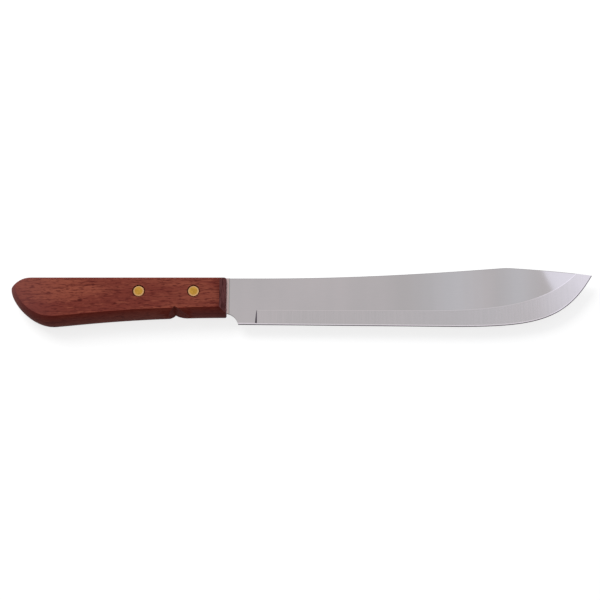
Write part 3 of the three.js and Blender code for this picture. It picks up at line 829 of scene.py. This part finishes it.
class BladeLines:
    """The lines that the blade's faces run between, in plan from the datum."""

    def __init__(self, s):
        self.s = s
        self.tip = Vector((BLADE_REACH, s.tip_height))
        self.heel = Vector((s.heel, -s.heel_depth))
        self.belly = Vector((s.belly_start, -s.belly_depth))
        self.peak = Vector((s.peak, s.peak_height))
        slope = (self.tip.y - self.peak.y) / (self.tip.x - self.peak.x)
        self.clip_start = self.peak + s.peak_round * Vector((1, slope))
        self.clip_middle = self.clip_start.lerp(self.tip, 0.5) + Vector((0, s.clip_bulge))
        run = (self.tip.x - s.grind_tip_run - self.clip_start.x) / (self.tip.x - self.clip_start.x)
        self.clip_run = run
        self.grind_end = self.clip(run)
        self.neck = Vector((s.shoulder, -s.neck_depth))
        across = Vector((self.neck.y - self.heel.y, self.heel.x - self.neck.x)).normalized()
        self.choil_middle = self.neck.lerp(self.heel, 0.5) + 2 * s.choil * across

    def clip(self, portion):
        """A point on the clip, between the peak and the tip."""
        return quadratic(self.clip_start, self.clip_middle, self.tip, portion)

    def choil(self, portion):
        """A point on the hollow between the neck and the heel."""
        return quadratic(self.neck, self.choil_middle, self.heel, portion)

    def edge_at(self, x):
        """A point on the straight part of the edge."""
        return self.heel.lerp(self.belly, (x - self.heel.x) / (self.belly.x - self.heel.x))

    def spine(self):
        """The spine from where it rises to where the grind runs out on the clip."""
        s = self.s
        start = Vector((s.rise_start, 0))
        peak_start = self.peak - s.peak_round * Vector((1, s.peak_slope))
        points = [start]
        points += cubic(start, start + Vector((s.rise_ease, 0)),
                        peak_start - s.peak_ease * Vector((1, s.peak_slope)), peak_start, RISE_STEPS)
        points += [quadratic(peak_start, self.peak, self.clip_start, portion)
                   for portion in steps(PEAK_STEPS)[1:]]
        points += [self.clip(self.clip_run * portion) for portion in steps(CLIP_STEPS)[1:]]
        return points

    def grind_line(self):
        """The line where the flat ends and the ground steel begins."""
        s = self.s
        start = Vector((s.plunge + s.plunge_lean, -s.grind_depth))
        bend = Vector((s.grind_curve, -s.grind_low))
        arrive = back_from(self.grind_end, s.grind_tip_ease, s.grind_tip_angle)
        points = [start.lerp(bend, portion) for portion in steps(STRAIGHT_STEPS)]
        points += cubic(bend, bend + Vector((s.grind_ease, 0)), arrive, self.grind_end, CURVE_STEPS)
        return points

    def edge_line(self):
        """The edge, from the foot of the plunge to the tip, in step with the grind line."""
        s = self.s
        start = self.edge_at(s.plunge + s.plunge_ramp)
        arrive = back_from(self.tip, s.tip_ease, s.tip_angle)
        points = [start.lerp(self.belly, portion) for portion in steps(STRAIGHT_STEPS)]
        points += cubic(self.belly, self.belly + Vector((s.belly_ease, 0)), arrive, self.tip, CURVE_STEPS)
        return points


def strip(bm, first, second, kind):
    """Faces of one kind between two chains of points."""
    edges = chain(bm, first) + chain(bm, second)
    for face in bmesh.ops.bridge_loops(bm, edges=edges)["faces"]:
        face.material_index = kind


def ground_rows(lines):
    """Rows of points over the ramp and the ground steel, from the grind line down to the edge bevel."""
    s = lines.s
    half = s.thickness / 2
    brink = s.grind_edge / 2
    lows = lines.edge_line()
    rulings = list(zip(lines.grind_line(), lows))
    along = [ahead - behind for behind, ahead in zip(lows[:1] + lows, lows[1:] + lows[-1:])]
    rows = []
    for portion in GROUND_ROWS:
        row = []
        for (high, low), run in zip(rulings, along):
            square = abs((low - high).cross(run.normalized()))
            across = portion * (1 - s.edge_bevel / square)
            point = high.lerp(low, across)
            row.append(Vector((point.x, point.y, share(half, brink, across))))
        foot = row[0]
        ramp = (TANG_HALF - half) / (TANG_HALF - foot.z)
        top = rulings[0][0] - Vector((s.plunge_ramp / 2, 0))
        across = portion * (1 - s.edge_bevel / (rulings[0][1] - rulings[0][0]).length)
        start = top.lerp(lines.edge_at(s.plunge), across).lerp(foot.xy, ramp)
        rows.append([Vector((start.x, start.y, half)), *row])
    return rows


def tang_side(bm, lines):
    """One side of the rolled tang with its rivet holes, which gives back the ends of its front line."""
    s = lines.s
    strip_end = halve(lambda portion: lines.choil(portion).x < s.neck_strip)
    corner = Vector((-TANG_REACH + s.tang_corner, -s.tang_height + s.tang_corner))
    tang = [Vector((s.neck_strip, 0)), Vector((-TANG_REACH, 0))]
    tang += arc(corner, s.tang_corner, 180, 270, TANG_STEPS)
    tang += [Vector((s.shoulder, -s.tang_height)), lines.neck]
    tang += [lines.choil(strip_end * portion) for portion in steps(STRIP_STEPS)[1:]]
    loops = chain(bm, raised(tang, TANG_HALF), closed=True)
    rivet = bpy.context.scene.knife_rivet
    for place in RIVETS:
        hole = arc(RIVET_AXES[place], rivet.tube / 2 + rivet.fit, 0, 360, HOLE_STEPS)[:-1]
        loops += chain(bm, raised(hole, TANG_HALF), closed=True)
    for face in only(BMFace, bmesh.ops.triangle_fill(bm, edges=loops, use_beauty=True)["geom"]):
        face.material_index = ROLLED
    return raised([tang[0], tang[-1]], TANG_HALF)


def blade_side(bm, lines):
    """One side of the blade: ground steel, edge bevel, polished flat and rolled tang."""
    s = lines.s
    half = s.thickness / 2
    rows = ground_rows(lines)
    for one, other in zip(rows, rows[1:]):
        strip(bm, one[:2], other[:2], RAMP)
        strip(bm, one[1:], other[1:], BROW_HIGHLIGHT if one is rows[0] else GROUND)

    heel_bevel = halve(lambda portion: lines.choil(portion).y > lines.heel.y + s.edge_bevel)
    inner = [Vector((*lines.choil(heel_bevel), half)), *rows[-1]]
    edge = raised([lines.heel, lines.edge_at(rows[-1][0].x), *lines.edge_line()], s.edge / 2)
    honed = [high.lerp(low, HONED) for high, low in zip(inner, edge)]
    strip(bm, inner, honed, EDGE)
    # The dark strip at the edge's foot is a painted shadow
    strip(bm, honed, edge, BRINK_SHADOW)

    flat_start = halve(lambda portion: lines.choil(portion).x < s.neck_strip + s.run_out)
    flat = [Vector((s.neck_strip + s.run_out, 0))]
    flat += [lines.choil(share(flat_start, heel_bevel, portion)) for portion in steps(CHOIL_STEPS)]
    flat += [row[0].xy for row in reversed(rows)]
    flat += lines.grind_line()[1:]
    flat += reversed(lines.spine()[:-1])
    bmesh.ops.contextual_create(bm, geom=chain(bm, raised(flat, half), closed=True))
    strip(bm, tang_side(bm, lines), raised(flat[:2], half), RUN_OUT)
    bmesh.ops.remove_doubles(bm, verts=bm.verts, dist=MERGE)


def blade_mesh(s):
    """The whole blade, alike on both sides."""
    bm = bmesh.new()
    blade_side(bm, BladeLines(s))
    side = [*bm.verts, *bm.edges, *bm.faces]
    border = [edge for edge in bm.edges if edge.is_boundary]
    wall = bmesh.ops.extrude_edge_only(bm, edges=border)["geom"]
    bmesh.ops.scale(bm, verts=only(BMVert, wall), vec=(1, 1, -1))
    other_side = bmesh.ops.duplicate(bm, geom=side)["geom"]
    bmesh.ops.scale(bm, verts=only(BMVert, other_side), vec=(1, 1, -1))
    closed_up(bm)

    def on_flat(vert):
        return abs(vert.co.z) > 0.9 * s.thickness / 2 and vert.co.x > s.neck_strip

    rims = [edge for edge in bm.edges
            if edge.calc_face_angle(0) > math.radians(RIM_ANGLE)
            and any(face.normal.y > WALL_FACING for face in edge.link_faces)
            and all(on_flat(vert) for vert in edge.verts)]
    soften(bm, rims, s.softening, RIM_STEPS)
    bmesh.ops.recalc_face_normals(bm, faces=bm.faces)
    # The spine and its rounded rims take a painted dark line
    for face in bm.faces:
        if face.normal.y > SPINE_FACING and face.material_index == FLAT:
            face.material_index = SPINE
    smooth_shaded(bm, STEEL_CREASE, by_finish=True)
    return bm


class KNIFE_OT_blade(bpy.types.Operator):
    """Model and finish the ground steel blade with its tang"""

    bl_idname = "knife.blade"
    bl_label = "Blade"

    def execute(self, context):
        s = context.scene.knife_blade
        steel = {"Color": s.steel, "Shade": s.cool}
        bright = {"Color": s.bright, "Shade": s.steel}
        # Painted highlight along the grind line, fading in towards the tip
        brow_highlight = {"Color": shaded(s.bright, 0.88), "Shade": shaded(s.steel, 1.06)}
        dark = toned(s.dark, 0.8)
        brow_from = DATUM.x + s.brow_start
        even, lines = (60, 60, 60), (1800, 300, 300)
        materials = [
            metal_material("polished_steel", steel, (26, 6, 6), (160, 2600, 300), 0.0002,
                           cloud=0.55, scratch=0.1, polish=0.02, dull=0.05),
            metal_material("cross_ground_steel", steel, (20, 12, 12), (1500, 40, 40), 0.003,
                           cloud=0.3, scratch=0.25, polish=0.14, dull=0.22),
            # Painted highlight along the edge bevel, fading back to plain steel at the tip
            metal_material("edge_highlight_steel", bright, (40, 40, 40), lines, 0.003,
                           (brow_from + 2 * s.brow_fade, brow_from),
                           cloud=0.2, scratch=0.3, polish=0.15, dull=0.2),
            metal_material("edge_shadow_steel", dark, even, lines, 0.003,
                           cloud=0.5, scratch=0.4, polish=0.15, dull=0.25),
            # Painted dark reflection on the plunge ramp
            metal_material("plunge_steel", dark, (200, 60, 60), (1500, 300, 300), 0.003,
                           cloud=0.4, scratch=0.5, polish=0.15, dull=0.25),
            metal_material("rolled_steel", toned(s.rolled, 0.85), (300, 40, 300), (2400, 40, 300), 0.002,
                           cloud=0.4, scratch=0.4, polish=0.2, dull=0.3),
            metal_material("spine_steel", toned(s.spine, 0.8), even, lines, 0.003,
                           cloud=0.5, scratch=0.4, polish=0.2, dull=0.3),
            metal_material("brow_highlight_steel", brow_highlight, even, lines, 0.002, (brow_from, brow_from + s.brow_fade),
                           cloud=0.4, scratch=0.2, polish=0.1, dull=0.15),
            metal_material("run_out_steel", toned(s.slope, 0.85), even, lines, 0.002,
                           cloud=0.4, scratch=0.3, polish=0.15, dull=0.25),
        ]
        add_piece(blade_mesh(s), "steel_blade", materials, "blade")
        return {"FINISHED"}


# Rivets

HEAD_STEPS, ROUND_STEPS = 6, 48
BRASS_CREASE = 40


def head_profile(s, sign):
    """A head from its seat to the middle of its top, on one side of the handle."""
    radius, top = HEAD_RADIUS, HEAD_TOP
    rim = arc(Vector((radius - s.rim, top - s.rim)), s.rim, 0, 90, HEAD_STEPS)
    points = [Vector((radius, top - s.head_thickness)), *rim]
    points += [Vector((radius - s.ring, top)), Vector((0, top))]
    return [(point.x, sign * point.y) for point in points]


def post_profile(s):
    """The half with a solid shank, whose head is on the upper side."""
    seat = HEAD_TOP - s.head_thickness
    end = -seat + s.bore_floor
    radius = s.shank / 2
    return [(0, end), (radius - s.lead_in, end), (radius, end + s.lead_in), (radius, seat),
            *head_profile(s, 1)]


def cap_profile(s):
    """The half with a tube that takes the shank, whose head is on the lower side."""
    seat = HEAD_TOP - s.head_thickness
    floor = -seat + s.bore_floor - s.fit
    end = TANG_HALF + s.tube_reach
    bore = s.shank / 2 + s.fit
    return [(0, floor), (bore, floor), (bore, end), (s.tube / 2, end), (s.tube / 2, -seat),
            *head_profile(s, -1)]


class KNIFE_OT_rivets(bpy.types.Operator):
    """Model and finish both halves of the two brass rivets"""

    bl_idname = "knife.rivets"
    bl_label = "Rivets"

    def execute(self, context):
        s = context.scene.knife_rivet
        materials = [
            metal_material("worn_brass", toned(s.brass, 0.72), (900, 900, 900), (500, 3000, 500), 0.01,
                           cloud=0.8, scratch=0.5, polish=0.35, dull=0.55),
            metal_material("rim_highlight_brass", toned(s.bright, 0.8), (1500, 1500, 1500), (900, 900, 900), 0.005,
                           cloud=0.4, scratch=0.2, polish=0.4, dull=0.55),
        ]
        for place in RIVETS:
            for half, profile in (("post", post_profile(s)), ("cap", cap_profile(s))):
                bm = spun_body(profile, RIVET_AXES[place])
                for face in bm.faces:
                    outward = face.calc_center_median().xy - RIVET_AXES[place]
                    # The rim and the ring round it take the painted highlight
                    face.material_index = 1 if outward.length > HEAD_RADIUS - s.ring else 0
                smooth_shaded(bm, BRASS_CREASE)
                name, node = f"{place}_brass_{half}", f"{place}_rivet_{half}"
                add_piece(bm, name, materials, node)
        return {"FINISHED"}


# Stage, in metres from the datum

FLOOR_REACH = 6
FLOOR_MOTTLE = (6, 6, 6)
# Share of the floor's glow that metal mirrors
MIRRORED_GLOW = 0.5
KEY_PLACE = Vector((-0.65, 0.75, 1.0))
KEY_SIZE = (0.9, 0.9)
# Panels that the flats mirror: how far back and how high they hang, and their length
PANEL_BACK, PANEL_HEIGHT, PANEL_LENGTH = 0.4375, 1.2, 0.9
TIP_PLACE, TIP_WIDTH = 0.69, 0.6
# Places and widths of the faint bands, each of panels of several widths hung a little apart for soft edges
BANDS = ((0.236, 0.064), (0.318, 0.038))
BAND_STEPS = (0.4, 0.8, 1.2, 1.6)
BAND_APART = 0.01
# Width of the camera's sensor in millimetres
SENSOR_WIDTH = 36


def seen_rays(tree):
    """1 for rays that show the background, whether it is seen, mirrored or through glass."""
    path = tree.nodes.new("ShaderNodeLightPath").outputs
    seen = calc(tree, "MAXIMUM", path["Is Camera Ray"], path["Is Glossy Ray"])
    return calc(tree, "MAXIMUM", seen, path["Is Transmission Ray"])


def white_world(s):
    """A world that is white to look at and gives an even light."""
    world = bpy.data.worlds.new("white_room")
    bpy.context.scene.world = world
    world.use_nodes = True
    tree = world.node_tree
    tree.nodes.clear()
    white = (1, 1, 1, 1)
    even = add(tree, "Background", {"Color": white, "Strength": s.world})
    shown = add(tree, "Background", {"Color": white, "Strength": 1.0})
    both = add(tree, "MixShader", {0: seen_rays(tree), 1: even.outputs[0], 2: shown.outputs[0]})
    add(tree, "OutputWorld", {"Surface": both.outputs[0]})


def floor_material(s):
    """A pale floor that takes the shadow and is lifted to white where it is seen."""
    material, tree, shader, where = new_material("pale_floor")
    tone = noise(tree, where, FLOOR_MOTTLE)
    shade = mixed(tree, tone, solid_colour(s.floor), solid_colour(shaded(s.floor, 0.98)))
    tree.links.new(shade, shader.inputs["Base Color"])
    set_inputs(shader, Roughness=0.9, Specular_IOR_Level=0.0)
    shader.inputs["Emission Color"].default_value = (1, 1, 1, 1)
    path = tree.nodes.new("ShaderNodeLightPath").outputs
    seen = calc(tree, "MULTIPLY_ADD", path["Is Glossy Ray"], MIRRORED_GLOW, path["Is Camera Ray"])
    glow = calc(tree, "MULTIPLY", seen, s.floor_glow)
    tree.links.new(glow, shader.inputs["Emission Strength"])
    return material


def area_lamp(name, place, size, power, tint, facing):
    """A soft panel over the knife."""
    lamp = bpy.data.lights.new(name, "AREA")
    lamp.shape = "RECTANGLE"
    lamp.size, lamp.size_y = size
    lamp.energy = power
    lamp.color = tint
    made = bpy.data.objects.new(name, lamp)
    made.location = DATUM + place
    made.rotation_euler = facing
    bpy.context.scene.collection.objects.link(made)
    return made


def mirrored_panels(s):
    """The panels that the flats mirror: a bright one at the tip and faint bands behind it."""
    tip = Vector((TIP_PLACE, PANEL_BACK, PANEL_HEIGHT))
    area_lamp("tip_panel", tip, (TIP_WIDTH, PANEL_LENGTH), s.panel, s.cool, (0, 0, s.panel_turn))
    for place, width in BANDS:
        for step in BAND_STEPS:
            size = (width * step, PANEL_LENGTH)
            power = s.band / len(BAND_STEPS) * math.pi * size[0] * size[1]
            where = Vector((place, PANEL_BACK, PANEL_HEIGHT + BAND_APART * step))
            area_lamp("band_panel", where, size, power, s.band_light, (0, 0, 0))


def add_camera(s):
    """The camera, which looks down at the knife from its edge's side."""
    camera = bpy.data.cameras.new("camera")
    camera.lens = s.lens
    camera.sensor_width = SENSOR_WIDTH
    eye = bpy.data.objects.new("camera", camera)
    back = Vector((0, -math.cos(s.elevation), math.sin(s.elevation)))
    eye.location = DATUM + Vector(s.aim) + s.distance * back
    eye.rotation_euler = (math.pi / 2 - s.elevation, 0, 0)
    bpy.context.scene.collection.objects.link(eye)
    bpy.context.scene.camera = eye


class KNIFE_OT_stage(bpy.types.Operator):
    """Set up the floor, the light and the camera"""

    bl_idname = "knife.stage"
    bl_label = "Stage"

    def execute(self, context):
        s = context.scene.knife_stage
        context.scene.view_settings.view_transform = "Standard"
        white_world(s)
        bm = bmesh.new()
        bmesh.ops.create_grid(bm, x_segments=4, y_segments=4, size=FLOOR_REACH)
        floor = loose_object(bm, "floor")
        floor.data.materials.append(floor_material(s))
        facing = KEY_PLACE.to_track_quat("Z", "Y").to_euler()
        key = area_lamp("key_panel", KEY_PLACE, KEY_SIZE, s.key, (1, 1, 1), facing)
        key.visible_glossy = False
        mirrored_panels(s)
        add_camera(s)
        return {"FINISHED"}


class KNIFE_PT_panel(bpy.types.Panel):
    """The knife's pieces and sizes in the sidebar"""

    bl_idname = "KNIFE_PT_panel"
    bl_label = "Meat Knife"
    bl_space_type = "VIEW_3D"
    bl_region_type = "UI"
    bl_category = "Knife"

    def draw(self, context):
        for operator, settings in BUILD_ORDER:
            box = self.layout.box()
            box.operator(operator.bl_idname)
            group = getattr(context.scene, settings)
            for name in group.__annotations__:
                box.prop(group, name)


SETTINGS = {
    "knife_stage": KnifeStageSettings,
    "knife_handle": KnifeHandleSettings,
    "knife_blade": KnifeBladeSettings,
    "knife_rivet": KnifeRivetSettings,
}
BUILD_ORDER = (
    (KNIFE_OT_stage, "knife_stage"),
    (KNIFE_OT_handle, "knife_handle"),
    (KNIFE_OT_blade, "knife_blade"),
    (KNIFE_OT_rivets, "knife_rivet"),
)
CLASSES = (*SETTINGS.values(), *(operator for operator, _ in BUILD_ORDER), KNIFE_PT_panel)


def register():
    for cls in CLASSES:
        bpy.utils.register_class(cls)
    for name, group in SETTINGS.items():
        setattr(bpy.types.Scene, name, PointerProperty(type=group))


def unregister():
    for name in SETTINGS:
        delattr(bpy.types.Scene, name)
    for cls in reversed(CLASSES):
        bpy.utils.unregister_class(cls)


def main():
    register()
    bpy.ops.knife.stage()
    bpy.ops.knife.handle()
    bpy.ops.knife.blade()
    bpy.ops.knife.rivets()


if __name__ == "__main__":
    main()
